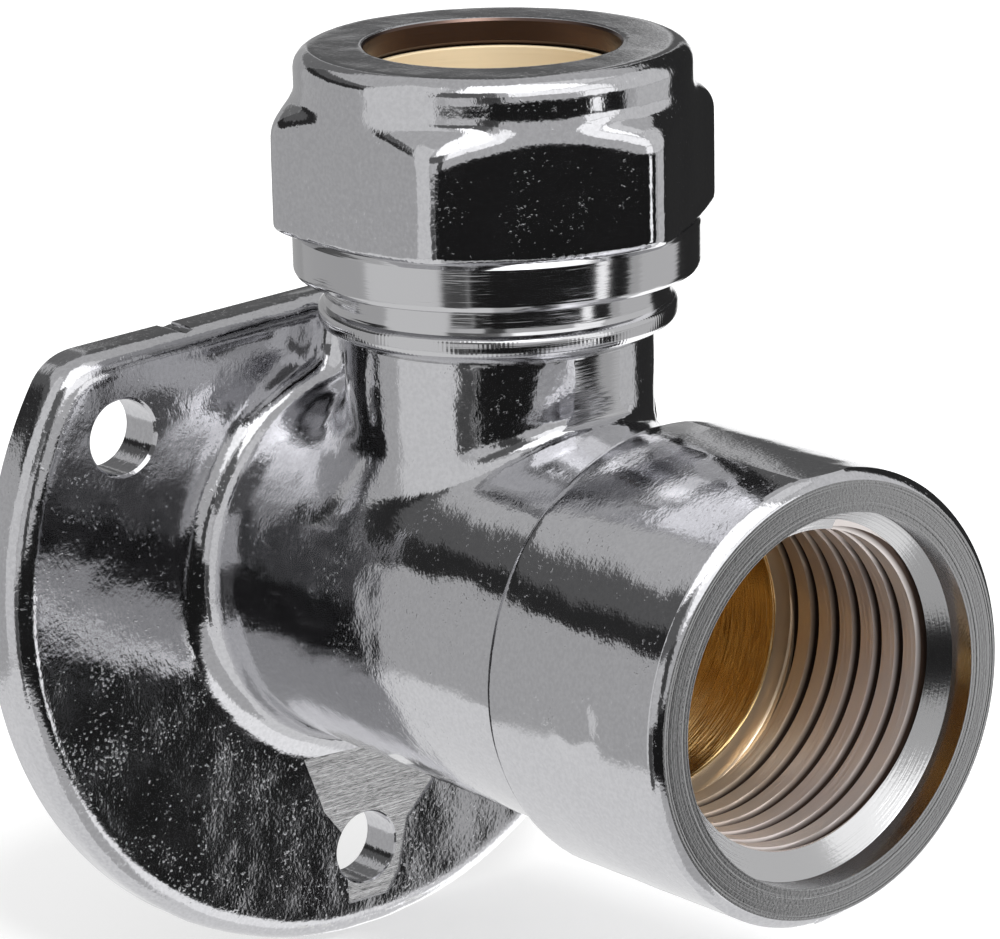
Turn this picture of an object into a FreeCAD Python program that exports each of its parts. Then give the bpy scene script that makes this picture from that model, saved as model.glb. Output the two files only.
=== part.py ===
# Wall plate elbow for a 15 mm pipe: a forged brass body with a female threaded socket, a compression
# nut and an olive. Millimetres. The origin is the centre of the wall plate's back face, on the
# socket's axis. The wall is the plane y = 0, the socket opens towards -Y and the pipe enters from
# above, along -Z.
import FreeCAD, Part
import math
import os
import re
import Sketcher

# Driving dimensions: name, value, what it is
SIZES = [
    ("plate_radius", 26.35, "wall plate, outer radius"),
    ("plate_thickness", 3.15, "wall plate, thickness"),
    ("chord_height", 16.45, "flat top of the plate above the socket's axis"),
    ("chord_draft", 2.4, "fall of the flat top to each side, degrees"),
    ("corner_round", 1.0, "round of the plate's two top corners"),
    ("rim_round", 1.5, "round of the plate's front edge"),
    ("back_bevel", 0.2, "bevel of the plate's back edge"),
    ("screw_circle", 20.6, "radius of the circle of screw holes"),
    ("screw_hole_radius", 2.36, "screw hole, radius"),
    ("screw_holes", 3, "number of screw holes"),
    ("barrel_radius", 12.05, "barrel at the plate, radius"),
    ("boss_fillet", 2.0, "fillet from the barrel to the plate"),
    ("shoulder_place", 32.1, "collar's shoulder, from the wall"),
    ("shoulder_radius", 12.5, "barrel at the collar's shoulder, radius"),
    ("collar_radius", 13.6, "socket collar, outer radius"),
    ("shoulder_round", 0.8, "round of the collar's back edge"),
    ("mouth_place", 47.2, "socket mouth, from the wall"),
    ("mouth_bevel", 0.65, "bevel of the mouth's outer edge"),
    ("pad_place", 40.2, "oval pad on the collar's side, from the wall"),
    ("pad_width", 4.2, "oval pad, width along the socket"),
    ("pad_length", 4.6, "oval pad, length round the collar"),
    ("pad_height", 0.25, "oval pad, height above the collar"),
    ("thread_radius", 10.4775, "half the outside diameter of a half-inch pipe thread"),
    ("counterbore_radius", 11.2, "plain lead-in of the socket, radius"),
    ("counterbore_depth", 1.3, "plain lead-in of the socket, depth"),
    ("socket_thread_depth", 15.0, "end of the socket's thread, from the mouth"),
    ("bore_radius", 9.2, "plain bore behind the thread, radius"),
    ("bore_end", 13.0, "full end of that bore, from the wall"),
    ("drill_angle", 59.0, "half angle of the drilled end, degrees"),
    ("neck_axis", 17.65, "neck's axis, from the wall"),
    ("neck_radius", 9.42, "forged neck, radius"),
    ("neck_foot", 3.0, "where the neck's solid starts inside the barrel"),
    ("ring_radius", 10.9, "ring under the thread, radius"),
    ("ring_foot", 16.8, "underside of the ring at the neck"),
    ("ring_bottom", 17.65, "lower edge of the ring's band"),
    ("ring_top", 18.65, "upper edge of the ring's band"),
    ("land_foot", 19.05, "foot of the thread land above the ring"),
    ("neck_top", 27.4, "top of the neck"),
    ("neck_lead", 0.9, "lead-in bevel at the top of the neck's thread"),
    ("pipe_radius", 7.5, "pipe, outside radius"),
    ("pipe_clearance", 0.1, "radial play of the pipe in the neck and the olive"),
    ("pipe_stop", 13.5, "seat of the pipe's end, above the socket's axis"),
    ("waterway_radius", 6.4, "waterway below the pipe, radius"),
    ("seat_lip", 0.45, "half the neck's end wall left outside the olive's seat"),
    ("seat_angle", 30.0, "half angle of the olive's seat in the neck, degrees"),
    ("web_thickness", 3.4, "web between the neck and the plate"),
    ("web_top", 15.2, "top of that web"),
    ("neck_fillet", 1.0, "fillet from the neck to the barrel"),
    ("nut_bottom", 20.6, "lower end of the nut's skirt"),
    ("nut_height", 13.75, "nut, overall height"),
    ("nut_flats", 24.25, "nut, across flats"),
    ("nut_turn", 34.6, "turn of the hexagon about the neck, degrees"),
    ("nut_edge_round", 1.1, "round of the hexagon's upright edges"),
    ("skirt_radius", 12.34, "turned skirt of the nut, radius"),
    ("skirt_bevel", 0.5, "bevel of the skirt's lower edge"),
    ("hex_foot", 2.9, "hexagon's underside above the skirt's end, at the skirt"),
    ("hex_underside", 13.0, "slope of the hexagon's underside, degrees"),
    ("crown_radius", 12.0, "round crown above the hexagon, radius"),
    ("crown_round", 1.25, "round of the crown's upper edge"),
    ("flare_drop", 2.7, "top of the flare to the hexagon, below the nut's top"),
    ("flare_slope", 34.0, "slope of that flare, degrees"),
    ("thread_clearance", 0.05, "radial play of the nut on the neck"),
    ("nut_lead", 0.7, "lead-in bevel of the nut's thread"),
    ("nut_thread_spare", 1.0, "thread bore of the nut above the neck's top"),
    ("nut_chamber_play", 0.55, "radial room round the olive inside the nut"),
    ("nut_hole_play", 0.25, "radial play of the pipe in the nut's hole"),
    ("nut_hole_bevel", 0.2, "bevel of the nut's hole"),
    ("lip_thickness", 1.45, "lip of the nut round its hole, thickness"),
    ("press_angle", 45.0, "half angle of the nut's pressing cone, degrees"),
    ("olive_wall", 1.3, "olive, wall in its middle"),
    ("olive_end_wall", 0.35, "olive, wall at its ends"),
    ("seat_clearance", 0.1, "radial gap between the olive and each cone"),
    ("overlap", 0.5, "how far metal that is joined on reaches into what is there"),
    ("run_out", 1.0, "how far a cut runs past the metal"),
]


document = FreeCAD.newDocument("wall_plate_elbow")
sheet = document.addObject("Spreadsheet::Sheet", "Sizes")
for row, (alias, value, note) in enumerate(SIZES, start=1):
    sheet.set(f"A{row}", note)
    sheet.set(f"B{row}", str(value))
    sheet.setAlias(f"B{row}", alias)
document.recompute()
ALIASES = {alias for alias, value, note in SIZES}


def formula(text):
    """Write a formula of size names as an expression that reads the sheet."""
    def refer(found):
        word = found.group()
        return "Sizes." + word if word in ALIASES else word
    return re.sub(r"[a-z_]+", refer, text)


def measure(text):
    """The value of a formula of size names."""
    value = sheet.evalExpression(formula(text))
    return float(getattr(value, "Value", value))


def new_body(label):
    """An empty body, which names one piece."""
    body = document.addObject("PartDesign::Body", label)
    body.Label = label
    return body


def new_sketch(body, name, plane, shift_x="0", shift_y="0", lift="0"):
    """A sketch on one of the body's own origin planes, shifted in that plane and lifted off it."""
    sketch = body.newObject("Sketcher::SketchObject", name)
    support = [feature for feature in body.Origin.OriginFeatures if feature.Role == plane][0]
    sketch.AttachmentSupport = [(support, "")]
    sketch.MapMode = "FlatFace"
    for direction, amount in (("x", shift_x), ("y", shift_y), ("z", lift)):
        if amount != "0":
            sketch.setExpression("AttachmentOffset.Base." + direction, formula(amount))
    return sketch


def hold_point(sketch, edge, end, x, y):
    """Fix a point of a sketch at two formulas, measured from the sketch's origin."""
    for kind, axis, text in (("DistanceX", -2, x), ("DistanceY", -1, y)):
        if text == "0":
            sketch.addConstraint(Sketcher.Constraint("PointOnObject", edge, end, axis))
        else:
            number = sketch.addConstraint(Sketcher.Constraint(kind, -1, 1, edge, end, measure(text)))
            sketch.setExpression(f"Constraints[{number}]", formula(text))


def draw_outline(sketch, corners):
    """Draw a closed outline from its corners.

    A corner is (x, y), or (x, y, radius, turn) where an arc of that radius arrives at it. turn is "left"
    for an arc that turns left on its way to the corner, and "right" for one that turns right.
    """
    places = [FreeCAD.Vector(measure(corner[0]), measure(corner[1]), 0) for corner in corners]
    ends = []
    for number, corner in enumerate(corners):
        start = places[number - 1]
        finish = places[number]
        if len(corner) == 2:
            edge = sketch.addGeometry(Part.LineSegment(start, finish))
            ends.append((edge, 1, 2))
            continue
        radius = measure(corner[2])
        chord = finish - start
        middle = (start + finish) * 0.5
        left = FreeCAD.Vector(-chord.y, chord.x, 0).normalize()
        rise = math.sqrt(max(radius ** 2 - (chord.Length / 2) ** 2, 0))
        centre = middle + left * (rise if corner[3] == "left" else -rise)
        first, last = (start, finish) if corner[3] == "left" else (finish, start)
        angles = [math.atan2(place.y - centre.y, place.x - centre.x) for place in (first, last)]
        circle = Part.Circle(centre, FreeCAD.Vector(0, 0, 1), radius)
        edge = sketch.addGeometry(Part.ArcOfCircle(circle, angles[0], angles[1]))
        ends.append((edge, 1, 2) if corner[3] == "left" else (edge, 2, 1))
    for number, corner in enumerate(corners):
        edge, start, finish = ends[number]
        following = ends[(number + 1) % len(corners)]
        sketch.addConstraint(Sketcher.Constraint("Coincident", edge, finish, following[0], following[1]))
        hold_point(sketch, edge, finish, corner[0], corner[1])
        if len(corner) > 2:
            number = sketch.addConstraint(Sketcher.Constraint("Radius", edge, measure(corner[2])))
            sketch.setExpression(f"Constraints[{number}]", formula(corner[2]))


def add_feature(body, kind, name, sketch=None, **settings):
    """Add a feature to a body and make it the body's latest state."""
    feature = body.newObject("PartDesign::" + kind, name)
    if sketch is not None:
        feature.Profile = sketch
    for setting, value in settings.items():
        setattr(feature, setting, value)
    body.Tip = feature
    return feature


def turn_profile(body, kind, name, axis, corners, shift_x="0"):
    """Turn an outline drawn in the YZ plane about an axis of its sketch, as added or cut metal."""
    sketch = new_sketch(body, name + "_profile", "YZ_Plane", shift_x=shift_x)
    draw_outline(sketch, corners)
    feature = add_feature(body, kind, name, sketch, ReferenceAxis=(sketch, [axis]), Angle=360.0)
    document.recompute()
    return feature


def ease_edges(body, kind, name, size, test):
    """Round or bevel the edges of the body's latest state that pass a test."""
    document.recompute()
    base = body.Tip
    names = [f"Edge{number}" for number, edge in enumerate(base.Shape.Edges, start=1) if test(edge)]
    feature = add_feature(body, kind, name, Base=(base, names))
    feature.setExpression("Radius" if kind == "Fillet" else "Size", formula(size))
    document.recompute()
    return feature


def near(value, target, within=1e-4):
    """Whether two lengths are the same."""
    return abs(value - target) < within


def make_plate(body):
    """The wall plate: a disc with a drafted flat top, soft corners, a round front edge and a crisp back."""
    sketch = new_sketch(body, "plate_outline", "XZ_Plane")
    radius = measure("plate_radius")
    height = measure("chord_height")
    half_chord = math.sqrt(radius ** 2 - height ** 2)
    start = math.atan2(height, -half_chord)
    finish = math.atan2(height, half_chord) + 2 * math.pi
    circle = Part.Circle(FreeCAD.Vector(0, 0, 0), FreeCAD.Vector(0, 0, 1), radius)
    rim = sketch.addGeometry(Part.ArcOfCircle(circle, start, finish))
    peak = FreeCAD.Vector(0, height, 0)
    fall = half_chord * math.tan(math.radians(measure("chord_draft")))
    right = sketch.addGeometry(Part.LineSegment(FreeCAD.Vector(half_chord, height - fall, 0), peak))
    left = sketch.addGeometry(Part.LineSegment(peak, FreeCAD.Vector(-half_chord, height - fall, 0)))
    sketch.addConstraint(Sketcher.Constraint("Coincident", rim, 3, -1, 1))
    sketch.addConstraint(Sketcher.Constraint("Coincident", rim, 2, right, 1))
    sketch.addConstraint(Sketcher.Constraint("Coincident", right, 2, left, 1))
    sketch.addConstraint(Sketcher.Constraint("Coincident", left, 2, rim, 1))
    hold_point(sketch, left, 1, "0", "chord_height")
    number = sketch.addConstraint(Sketcher.Constraint("Radius", rim, radius))
    sketch.setExpression(f"Constraints[{number}]", formula("plate_radius"))
    draft = math.radians(measure("chord_draft"))
    number = sketch.addConstraint(Sketcher.Constraint("Angle", left, math.pi + draft))
    sketch.setExpression(f"Constraints[{number}]", formula("(180 + chord_draft) * 1 deg"))
    sketch.addConstraint(Sketcher.Constraint("Equal", left, right))
    plate = add_feature(body, "Pad", "plate", sketch)
    plate.setExpression("Length", formula("plate_thickness"))
    document.recompute()

    def upright_corner(edge):
        """The plate's two upright corner edges, which join the flat top to the rim."""
        ends = [vertex.Point for vertex in edge.Vertexes]
        if len(ends) != 2 or not near(ends[0].x, ends[1].x) or not near(ends[0].z, ends[1].z):
            return False
        return not near(ends[0].x, 0)

    ease_edges(body, "Fillet", "plate_corners", "corner_round", upright_corner)

    def rim_at(place):
        """A test for the edges round the plate's face at that place along the y axis."""
        return lambda edge: near(edge.BoundBox.YMin, place) and near(edge.BoundBox.YMax, place)

    ease_edges(body, "Fillet", "plate_rim", "rim_round", rim_at(-measure("plate_thickness")))
    ease_edges(body, "Chamfer", "plate_back", "back_bevel", rim_at(0))


def make_elbow_body():
    """The forging: plate, barrel with its collar, neck and web, then its machined bores and screw holes."""
    body = new_body("elbow_body")
    make_plate(body)
    turn_profile(body, "Revolution", "barrel", "H_Axis", [
        ("-plate_thickness / 2", "0"),
        ("-plate_thickness / 2", "barrel_radius + boss_fillet"),
        ("-plate_thickness", "barrel_radius + boss_fillet"),
        ("-plate_thickness - boss_fillet", "barrel_radius", "boss_fillet", "right"),
        ("-shoulder_place", "shoulder_radius"),
        ("-shoulder_place", "collar_radius - shoulder_round"),
        ("-shoulder_place - shoulder_round", "collar_radius", "shoulder_round", "left"),
        ("-mouth_place + mouth_bevel", "collar_radius"),
        ("-mouth_place", "collar_radius - mouth_bevel"),
        ("-mouth_place", "0"),
    ])
    turn_profile(body, "Revolution", "neck", "V_Axis", [
        ("0", "neck_foot"),
        ("neck_radius", "neck_foot"),
        ("neck_radius", "ring_foot"),
        ("ring_radius", "ring_bottom"),
        ("ring_radius", "ring_top"),
        ("thread_radius", "land_foot"),
        ("thread_radius", "neck_top - neck_lead"),
        ("thread_radius - neck_lead", "neck_top"),
        ("0", "neck_top"),
    ], shift_x="-neck_axis")
    make_web(body)
    soften_neck(body)
    raise_pad(body)
    turn_profile(body, "Groove", "socket", "H_Axis", [
        ("-mouth_place - run_out", "0"),
        ("-mouth_place - run_out", "counterbore_radius"),
        ("-mouth_place + counterbore_depth", "counterbore_radius"),
        ("-mouth_place + counterbore_depth + counterbore_radius - thread_radius", "thread_radius"),
        ("-mouth_place + socket_thread_depth", "thread_radius"),
        ("-mouth_place + socket_thread_depth + thread_radius - bore_radius", "bore_radius"),
        ("-bore_end", "bore_radius"),
        ("-bore_end + bore_radius / tan(drill_angle * 1 deg)", "0"),
    ])
    pipe_bore = "pipe_radius + pipe_clearance"
    seat_mouth = "thread_radius - neck_lead - seat_lip"
    turn_profile(body, "Groove", "pipe_socket", "V_Axis", [
        ("0", "0"),
        ("waterway_radius", "0"),
        ("waterway_radius", "pipe_stop"),
        (pipe_bore, "pipe_stop"),
        (pipe_bore, f"neck_top - ({seat_mouth} - {pipe_bore}) / tan(seat_angle * 1 deg)"),
        (seat_mouth, "neck_top"),
        (seat_mouth, "neck_top + run_out"),
        ("0", "neck_top + run_out"),
    ], shift_x="-neck_axis")
    drill_screw_holes(body)
    return body


def make_web(body):
    """The flat web that the forging leaves between the neck's back and the plate."""
    sketch = new_sketch(body, "web_outline", "YZ_Plane")
    draw_outline(sketch, [
        ("-plate_thickness / 2", "neck_foot"),
        ("-plate_thickness / 2", "web_top"),
        ("-neck_axis", "web_top"),
        ("-neck_axis", "neck_foot"),
    ])
    web = add_feature(body, "Pad", "web", sketch, SideType="Symmetric")
    web.setExpression("Length", formula("web_thickness"))
    document.recompute()


def soften_neck(body):
    """The forged fillet where the neck grows out of the barrel."""
    axis = measure("neck_axis")
    radius = measure("neck_radius")
    web = measure("web_thickness")

    def neck_joint(edge):
        """Edges on the neck's wall that lie in front of the web and below the ring."""
        if edge.BoundBox.ZMax > measure("ring_foot") - 1 or edge.Length < web:
            return False
        first, last = edge.ParameterRange
        places = [edge.valueAt(first + (last - first) * share) for share in (0.25, 0.5, 0.75)]
        return all(near(math.hypot(place.x, place.y + axis), radius, 1e-3) for place in places)

    ease_edges(body, "Fillet", "neck_softening", "neck_fillet", neck_joint)


def raise_pad(body):
    """The low oval pad on the collar's side, left plain."""
    face = "-collar_radius - pad_height"
    sketch = new_sketch(body, "pad_outline", "YZ_Plane", shift_x="-pad_place", lift=face)
    tall = measure("pad_length / 2")
    half = measure("pad_width / 2")
    oval = sketch.addGeometry(Part.Ellipse(FreeCAD.Vector(0, tall, 0), FreeCAD.Vector(half, 0, 0),
                                           FreeCAD.Vector(0, 0, 0)))
    sketch.exposeInternalGeometry(oval)
    sketch.addConstraint(Sketcher.Constraint("Coincident", oval, 3, -1, 1))
    long_axis = oval + 1
    short_axis = oval + 2
    sketch.addConstraint(Sketcher.Constraint("Parallel", long_axis, -2))
    for line, size in ((long_axis, "pad_length"), (short_axis, "pad_width")):
        number = sketch.addConstraint(Sketcher.Constraint("Distance", line, measure(size)))
        sketch.setExpression(f"Constraints[{number}]", formula(size))
    pad = add_feature(body, "Pad", "oval_pad", sketch)
    pad.setExpression("Length", formula("pad_height + overlap"))
    document.recompute()


def drill_screw_holes(body):
    """Plain screw holes, evenly spaced round the plate, with one straight below the socket."""
    sketch = new_sketch(body, "screw_hole_outline", "XZ_Plane")
    radius = measure("screw_hole_radius")
    centre = FreeCAD.Vector(0, -measure("screw_circle"), 0)
    hole = sketch.addGeometry(Part.Circle(centre, FreeCAD.Vector(0, 0, 1), radius))
    hold_point(sketch, hole, 3, "0", "-screw_circle")
    number = sketch.addConstraint(Sketcher.Constraint("Radius", hole, radius))
    sketch.setExpression(f"Constraints[{number}]", formula("screw_hole_radius"))
    first = add_feature(body, "Pocket", "screw_hole", sketch, Type="ThroughAll", SideType="Symmetric")
    document.recompute()
    ring = add_feature(body, "PolarPattern", "screw_hole_ring", Originals=[first], Angle=360.0)
    axis = [feature for feature in body.Origin.OriginFeatures if feature.Role == "Y_Axis"][0]
    ring.Axis = (axis, [""])
    ring.setExpression("Occurrences", formula("screw_holes"))
    document.recompute()


def make_compression_nut():
    """The nut: a soft-edged hexagon with a round crown, a turned skirt and a pressing cone inside."""
    body = new_body("compression_nut")
    nut_top = "nut_bottom + nut_height"
    foot = "nut_bottom + hex_foot"
    sketch = new_sketch(body, "hexagon", "XY_Plane", shift_y="-neck_axis", lift=foot)
    corner = "nut_flats / 2 / cos(30 deg)"
    corners = []
    for number in range(6):
        angle = f"(nut_turn + {60 * number}) * 1 deg"
        corners.append((f"{corner} * cos({angle})", f"{corner} * sin({angle})"))
    draw_outline(sketch, corners)
    prism = add_feature(body, "Pad", "hexagon_prism", sketch)
    prism.setExpression("Length", formula("nut_height - hex_foot"))

    def upright(edge):
        """The six upright edges of the hexagon."""
        return edge.BoundBox.XLength < 1e-4 and edge.BoundBox.YLength < 1e-4

    ease_edges(body, "Fillet", "hexagon_edges", "nut_edge_round", upright)
    outside = "nut_flats"
    turn_profile(body, "Groove", "crown", "V_Axis", [
        ("crown_radius - crown_round", nut_top),
        ("crown_radius", f"{nut_top} - crown_round", "crown_round", "right"),
        ("crown_radius", f"{nut_top} - flare_drop"),
        (outside, f"{nut_top} - flare_drop - ({outside} - crown_radius) * tan(flare_slope * 1 deg)"),
        (outside, f"{nut_top} + run_out"),
        ("crown_radius - crown_round", f"{nut_top} + run_out"),
    ], shift_x="-neck_axis")
    turn_profile(body, "Groove", "underside", "V_Axis", [
        ("skirt_radius", foot),
        (outside, f"{foot} + ({outside} - skirt_radius) * tan(hex_underside * 1 deg)"),
        (outside, f"{foot} - run_out"),
        ("skirt_radius", f"{foot} - run_out"),
    ], shift_x="-neck_axis")
    turn_profile(body, "Revolution", "skirt", "V_Axis", [
        ("0", "nut_bottom"),
        ("skirt_radius - skirt_bevel", "nut_bottom"),
        ("skirt_radius", "nut_bottom + skirt_bevel"),
        ("skirt_radius", f"{foot} + overlap"),
        ("0", f"{foot} + overlap"),
    ], shift_x="-neck_axis")
    thread_bore = "thread_radius + thread_clearance"
    hole = "pipe_radius + nut_hole_play"
    chamber = "pipe_radius + pipe_clearance + olive_wall + nut_chamber_play"
    cone_top = f"{nut_top} - lip_thickness"
    turn_profile(body, "Groove", "inside", "V_Axis", [
        ("0", "nut_bottom - run_out"),
        (f"{thread_bore} + nut_lead", "nut_bottom - run_out"),
        (f"{thread_bore} + nut_lead", "nut_bottom"),
        (thread_bore, "nut_bottom + nut_lead"),
        (thread_bore, "neck_top + nut_thread_spare"),
        (chamber, "neck_top + nut_thread_spare"),
        (chamber, f"{cone_top} - ({chamber} - ({hole})) / tan(press_angle * 1 deg)"),
        (hole, cone_top),
        (hole, f"{nut_top} - nut_hole_bevel"),
        (f"{hole} + nut_hole_bevel", nut_top),
        (f"{hole} + nut_hole_bevel", f"{nut_top} + run_out"),
        ("0", f"{nut_top} + run_out"),
    ], shift_x="-neck_axis")
    return body


def make_olive():
    """The olive: a brass ring with a taper at each end, between the neck's seat and the nut's cone."""
    body = new_body("olive")
    inner = "pipe_radius + pipe_clearance"
    outer = f"{inner} + olive_wall"
    tip = f"{inner} + olive_end_wall"
    seat_mouth = "thread_radius - neck_lead - seat_lip"
    hole = "pipe_radius + nut_hole_play"
    cone_top = "nut_bottom + nut_height - lip_thickness"

    def on_seat(radius):
        """Height at which a radius of the olive lies over the neck's seat."""
        return f"neck_top - ({seat_mouth} - seat_clearance - ({radius})) / tan(seat_angle * 1 deg)"

    def under_cone(radius):
        """Height at which a radius of the olive lies under the nut's pressing cone."""
        return f"{cone_top} - ({radius} + seat_clearance - ({hole})) / tan(press_angle * 1 deg)"

    turn_profile(body, "Revolution", "olive_ring", "V_Axis", [
        (inner, on_seat(tip)),
        (tip, on_seat(tip)),
        (outer, on_seat(outer)),
        (outer, under_cone(outer)),
        (tip, under_cone(tip)),
        (inner, under_cone(tip)),
    ], shift_x="-neck_axis")
    return body


pieces = [make_elbow_body(), make_compression_nut(), make_olive()]
document.recompute()
for item in document.Objects:
    if "Invalid" in item.State or "Error" in item.State:
        raise RuntimeError(f"{item.Name} failed: {item.State}")
for piece in pieces:
    if piece.Shape.isNull() or not piece.Shape.isValid():
        raise RuntimeError(f"{piece.Label} has no valid shape")
os.makedirs("parts", exist_ok=True)
for piece in pieces:
    piece.Shape.exportStep(f"parts/{piece.Label}.step")
    print(piece.Label, len(piece.Shape.Solids), "solid", round(piece.Shape.Volume, 1), "mm3")
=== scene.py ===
# A wall plate elbow for a 15 mm pipe: a chromed brass forging with a threaded socket, an olive and a
# compression nut. Sizes are in millimetres and are turned to metres where a mesh is made. The wall is
# the plane y = 0, the socket opens towards -y and the pipe comes in from above.
import math
import bmesh
import bpy
import numpy as np
import openvdb
from mathutils import Matrix, Vector, noise


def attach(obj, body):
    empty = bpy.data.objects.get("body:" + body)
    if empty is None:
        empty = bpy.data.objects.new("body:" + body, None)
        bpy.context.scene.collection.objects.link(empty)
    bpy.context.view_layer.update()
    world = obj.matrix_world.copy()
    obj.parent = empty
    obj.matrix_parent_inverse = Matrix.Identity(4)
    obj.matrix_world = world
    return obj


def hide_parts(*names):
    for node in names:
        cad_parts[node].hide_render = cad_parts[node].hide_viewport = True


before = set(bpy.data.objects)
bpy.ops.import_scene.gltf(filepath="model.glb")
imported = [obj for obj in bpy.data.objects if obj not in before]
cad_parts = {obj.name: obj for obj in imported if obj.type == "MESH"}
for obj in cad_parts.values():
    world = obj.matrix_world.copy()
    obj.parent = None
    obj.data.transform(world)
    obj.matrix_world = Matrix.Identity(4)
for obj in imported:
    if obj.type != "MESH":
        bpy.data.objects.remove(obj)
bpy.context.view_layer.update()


# Elbow body
# One hot brass forging: wall plate, barrel, socket collar and neck, trimmed along its parting plane
# x = 0, then turned, bored, threaded and drilled. It is nickel plated and chromed, and the plating
# thins out deep in the socket.
PLATE_RADIUS = 26.35
PLATE_THICKNESS = 3.15
CHORD_HEIGHT = 16.45
CHORD_DRAFT = math.radians(2.4)
CORNER_BLEND = 1.6
RIM_ROUND = 1.5
SCREW_CIRCLE = 20.6
SCREW_HOLE_RADIUS = 2.36
BARREL_START = 5.15
BARREL_RADIUS = 12.05
BOSS_BLEND = 2.6
SHOULDER = 32.1
SHOULDER_RADIUS = 12.5
SHOULDER_ROUND = 0.8
COLLAR_RADIUS = 13.6
MOUTH = 47.2
NECK_AXIS = 17.65
NECK_RADIUS = 9.42
RING_FOOT = 16.8
WEB_HALF = 1.7
WEB_TOP = 15.2
WEB_BLEND = 2.2
THREAD_PITCH = 1.814
THREAD_RADIUS = 10.4775
# The plate is forged past the wall's plane, and the other parts run into their neighbours.
PLATE_STOCK = 1.0
BARREL_ROOT = 2.9
BARREL_LAP = 1.4
NECK_FOOT = 3.0
NECK_LAP = 0.4
WEB_ROOT = 2.6
WEB_FOOT = 1.0
# The fillet round the neck is crisp in front and wide at the back, where the web joins it.
NECK_BLEND = 1.3
NECK_BLEND_GAIN = 1.5
NECK_BLEND_FRONT = 21.0
NECK_BLEND_RUN = 8.0


def soft_union(first, second, blend):
    """Distance to two solids that are joined with a fillet about as wide as blend."""
    share = np.maximum(blend - np.abs(first - second), 0.0) / blend
    return np.minimum(first, second) - share * share * blend / 4


def soft_overlap(first, second, blend):
    """Distance to what two solids have in common, with its edges rounded."""
    return -soft_union(-first, -second, blend)


def rounded(first, second, radius):
    """Distance to what two solids have in common, with a true round where they meet squarely."""
    one = first + radius
    two = second + radius
    outside = np.hypot(np.maximum(one, 0.0), np.maximum(two, 0.0))
    return np.minimum(np.maximum(one, two), 0.0) + outside - radius


def forging_distance(points):
    """Distance in millimetres from points to the skin of the forged blank, before it is machined."""
    x, y, z = points[..., 0], points[..., 1], points[..., 2]
    around = np.hypot(x, z)
    top = (z + np.abs(x) * math.tan(CHORD_DRAFT) - CHORD_HEIGHT) * math.cos(CHORD_DRAFT)
    outline = soft_overlap(around - PLATE_RADIUS, top, CORNER_BLEND)
    plate = np.maximum(rounded(outline, -y - PLATE_THICKNESS, RIM_ROUND), y - PLATE_STOCK)
    along = np.clip((-y - BARREL_START) / (SHOULDER - BARREL_START), 0.0, 1.0)
    barrel = around - BARREL_RADIUS - (SHOULDER_RADIUS - BARREL_RADIUS) * along
    barrel = np.maximum(np.maximum(barrel, -SHOULDER - BARREL_LAP - y), y + BARREL_ROOT)
    neck = np.hypot(x, y + NECK_AXIS) - NECK_RADIUS
    neck = np.maximum(np.maximum(neck, z - RING_FOOT - NECK_LAP), NECK_FOOT - z)
    web = np.maximum(np.abs(x) - WEB_HALF, np.maximum(z - WEB_TOP, WEB_FOOT - z))
    web = np.maximum(web, np.maximum(y + WEB_ROOT, -NECK_AXIS - y))
    neck_blend = NECK_BLEND + NECK_BLEND_GAIN * np.clip((y + NECK_BLEND_FRONT) / NECK_BLEND_RUN, 0.0, 1.0)
    solid = soft_union(plate, barrel, BOSS_BLEND)
    solid = soft_union(solid, neck, neck_blend)
    return soft_union(solid, web, WEB_BLEND)


def slope_of(distance, points):
    """The slope of a distance at points, which is the direction away from the solid."""
    reach = 0.002
    parts = []
    for axis in range(3):
        move = np.zeros(3)
        move[axis] = reach
        parts.append((distance(points + move) - distance(points - move)) / (2 * reach))
    return np.stack(parts, axis=-1)


def skin(distance, low, high, step):
    """Points, outward directions and quads of the surface where a distance is nought."""
    axes = [np.arange(start, end + step, step) for start, end in zip(low, high)]
    values = distance(np.stack(np.meshgrid(*axes, indexing="ij"), axis=-1))
    grid = openvdb.FloatGrid(5.0)
    grid.copyFromArray(values.astype(np.float32))
    points, quads = grid.convertToQuads(0.0)
    points = np.array(points, dtype=float) * step + np.array(low)
    for _ in range(5):
        slope = slope_of(distance, points)
        size = np.maximum((slope * slope).sum(axis=1), 0.05)
        points -= slope * (distance(points) / size)[:, None]
    outward = slope_of(distance, points)
    outward /= np.linalg.norm(outward, axis=1)[:, None]
    return points, outward, np.array(quads, dtype=int)


def waves(points, size, seed):
    """A soft random height, from -1 to 1, whose bumps are about size millimetres wide."""
    shift = Vector((seed * 17.3, seed * 5.1, seed * 11.7))
    return np.array([noise.noise(Vector(point) / size + shift) for point in points])


def new_piece(name, points, faces):
    """An object from points in millimetres and faces, with its faces turned outwards."""
    mesh = bpy.data.meshes.new(name)
    mesh.from_pydata((np.asarray(points) / 1000.0).tolist(), [], [list(map(int, face)) for face in faces])
    shape = bmesh.new()
    shape.from_mesh(mesh)
    bmesh.ops.recalc_face_normals(shape, faces=shape.faces)
    shape.to_mesh(mesh)
    shape.free()
    piece = bpy.data.objects.new(name, mesh)
    bpy.context.scene.collection.objects.link(piece)
    return piece


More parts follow.
